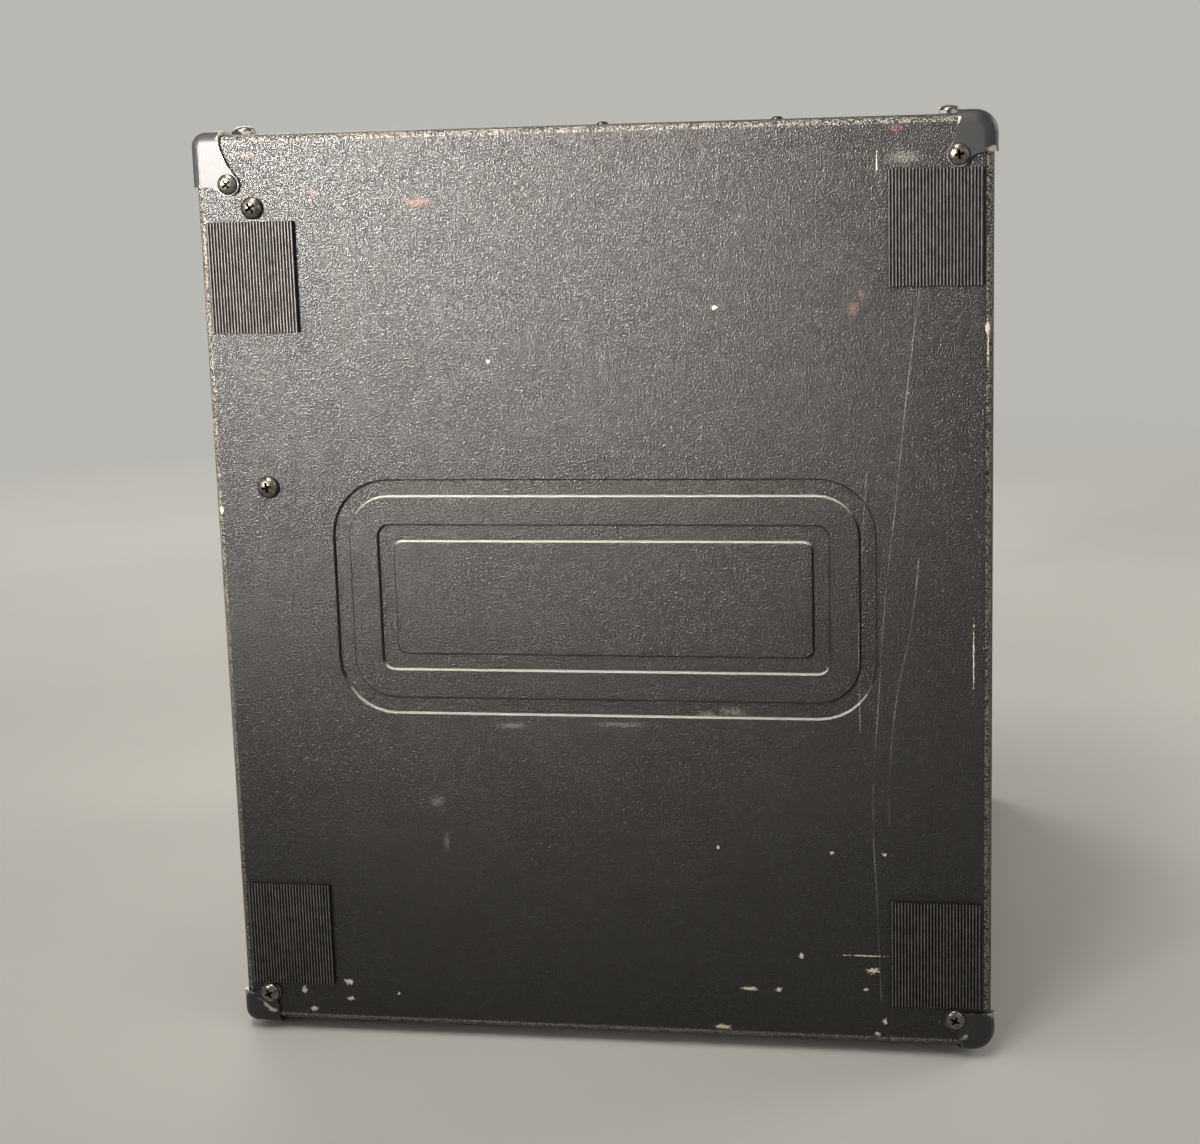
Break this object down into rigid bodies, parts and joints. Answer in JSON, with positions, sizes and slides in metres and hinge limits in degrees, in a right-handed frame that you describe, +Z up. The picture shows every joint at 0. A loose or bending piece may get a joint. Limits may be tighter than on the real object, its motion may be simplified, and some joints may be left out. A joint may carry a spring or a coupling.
{
  "type": "bass combo amplifier",
  "caption": "Compact bass combo amplifier: coated wooden cabinet with pressed corners, ribbed pads, front grille, recessed top controls, flip-up handle and rear amplifier chassis.",
  "frame": {"origin": "centre of the footprint, on the surface the feet stand on", "axes": "+Z up, front (grille) towards -Y, +X to the right as seen from the front"},
  "size_m": [0.4078, 0.3534, 0.4232],
  "materials": {
    "coated_wood": "black textured spatter coat, satin",
    "black_steel": "black powder coat, satin",
    "grille_steel": "black powder coat, perforated",
    "corner_steel": "black enamel, worn bright at the edges",
    "pad_rubber": "black ribbed rubber, matt",
    "screw_steel": "black nickel, polished",
    "zinc_steel": "zinc plated",
    "black_plastic": "black moulded plastic, fine grain",
    "grip_rubber": "black soft-touch rubber over steel",
    "knob_plastic": "black moulded knob with a white line",
    "button_plastic": "grey moulded cap",
    "circuit_board": "green glass-fibre board",
    "aluminium": "extruded, natural",
    "magnet": "ferrite with black plates",
    "cone_paper": "black paper pulp",
    "surround_rubber": "black butyl rubber",
    "spider_cloth": "resin-dipped woven cloth",
    "copper": "enamelled wire",
    "lead_insulation": "black insulated twin wire"
  },
  "bodies": {
    "cabinet": {"cabinet_shell": "coated_wood", "baffle_board": "coated_wood", "back_board": "coated_wood", "amp_chassis": "black_steel", "control_panel": "black_steel", "woofer_basket": "black_steel", "speaker_grille": "grille_steel", "corner_protector_front_left_bottom": "corner_steel", "corner_protector_front_left_top": "corner_steel", "corner_protector_front_right_bottom": "corner_steel", "corner_protector_front_right_top": "corner_steel", "corner_protector_rear_left_bottom": "corner_steel", "corner_protector_rear_left_top": "corner_steel", "corner_protector_rear_right_bottom": "corner_steel", "corner_protector_rear_right_top": "corner_steel", "side_pad_front_bottom": "pad_rubber", "side_pad_front_top": "pad_rubber", "side_pad_rear_bottom": "pad_rubber", "side_pad_rear_top": "pad_rubber", "foot_front_left": "pad_rubber", "foot_front_right": "pad_rubber", "foot_rear_left": "pad_rubber", "foot_rear_right": "pad_rubber", "chassis_screw_left_lower": "screw_steel", "chassis_screw_left_upper": "screw_steel", "chassis_screw_right_lower": "screw_steel", "chassis_screw_right_upper": "screw_steel", "handle_pin": "zinc_steel", "di_socket": "zinc_steel", "port_tube_left": "black_plastic", "port_tube_right": "black_plastic", "fan_frame": "black_plastic", "mains_inlet": "black_plastic", "handle_dish": "black_plastic", "input_jack": "black_plastic", "headphone_jack": "black_plastic", "speaker_socket": "black_plastic", "preamp_board": "circuit_board", "power_board": "circuit_board", "heatsink": "aluminium", "woofer_magnet": "magnet", "woofer_surround": "surround_rubber", "woofer_spider": "spider_cloth", "speaker_lead": "lead_insulation"},
    "knob_gain": {"knob_gain": "knob_plastic"},
    "knob_bass": {"knob_bass": "knob_plastic"},
    "knob_low_mid": {"knob_low_mid": "knob_plastic"},
    "knob_high_mid": {"knob_high_mid": "knob_plastic"},
    "knob_treble": {"knob_treble": "knob_plastic"},
    "knob_drive": {"knob_drive": "knob_plastic"},
    "knob_master": {"knob_master": "knob_plastic"},
    "button_pad": {"button_pad": "button_plastic"},
    "button_mute": {"button_mute": "button_plastic"},
    "button_pre_post": {"button_pre_post": "button_plastic"},
    "button_ground_lift": {"button_ground_lift": "button_plastic"},
    "rocker": {"power_rocker": "black_plastic"},
    "grip": {"handle_grip": "grip_rubber"},
    "fan": {"fan_rotor": "black_plastic"},
    "speaker_cone": {"woofer_cone": "cone_paper", "voice_coil": "copper"}
  },
  "joints": [
    {"name": "gain_turn", "type": "hinge", "parent": "cabinet", "child": "knob_gain", "pos_m": [-0.096, 0.083, 0.404], "axis": [0, 0, -1], "range_deg": [-150, 150]},
    {"name": "bass_turn", "type": "hinge", "parent": "cabinet", "child": "knob_bass", "pos_m": [-0.064, 0.083, 0.404], "axis": [0, 0, -1], "range_deg": [-150, 150]},
    {"name": "low_mid_turn", "type": "hinge", "parent": "cabinet", "child": "knob_low_mid", "pos_m": [-0.032, 0.083, 0.404], "axis": [0, 0, -1], "range_deg": [-150, 150]},
    {"name": "high_mid_turn", "type": "hinge", "parent": "cabinet", "child": "knob_high_mid", "pos_m": [0, 0.083, 0.404], "axis": [0, 0, -1], "range_deg": [-150, 150]},
    {"name": "treble_turn", "type": "hinge", "parent": "cabinet", "child": "knob_treble", "pos_m": [0.032, 0.083, 0.404], "axis": [0, 0, -1], "range_deg": [-150, 150]},
    {"name": "drive_turn", "type": "hinge", "parent": "cabinet", "child": "knob_drive", "pos_m": [0.064, 0.083, 0.404], "axis": [0, 0, -1], "range_deg": [-150, 150]},
    {"name": "master_turn", "type": "hinge", "parent": "cabinet", "child": "knob_master", "pos_m": [0.096, 0.083, 0.404], "axis": [0, 0, -1], "range_deg": [-150, 150]},
    {"name": "pad_press", "type": "slide", "parent": "cabinet", "child": "button_pad", "axis": [0, 0, -1], "range_m": [0, 0.002], "stiffness_N_per_m": 500, "springref_m": -0.001},
    {"name": "mute_press", "type": "slide", "parent": "cabinet", "child": "button_mute", "axis": [0, 0, -1], "range_m": [0, 0.002], "stiffness_N_per_m": 500, "springref_m": -0.001},
    {"name": "pre_post_press", "type": "slide", "parent": "cabinet", "child": "button_pre_post", "axis": [0, 0, -1], "range_m": [0, 0.002], "stiffness_N_per_m": 500, "springref_m": -0.001},
    {"name": "ground_lift_press", "type": "slide", "parent": "cabinet", "child": "button_ground_lift", "axis": [0, 0, -1], "range_m": [0, 0.002], "stiffness_N_per_m": 500, "springref_m": -0.001},
    {"name": "rocker_tilt", "type": "hinge", "parent": "cabinet", "child": "rocker", "pos_m": [0.14, 0.1643, 0.3213], "axis": [0, 0, -1], "range_deg": [0, 20]},
    {"name": "handle_lift", "type": "hinge", "parent": "cabinet", "child": "grip", "pos_m": [0, -0.006, 0.4113], "axis": [-1, 0, 0], "range_deg": [0, 90]},
    {"name": "fan_spin", "type": "hinge", "parent": "cabinet", "child": "fan", "pos_m": [0.05, 0.15, 0.3073], "axis": [0, 1, 0], "continuous": true},
    {"name": "cone_stroke", "type": "slide", "parent": "cabinet", "child": "speaker_cone", "axis": [0, -1, 0], "range_m": [-0.004, 0.004], "stiffness_N_per_m": 2500}
  ]
}
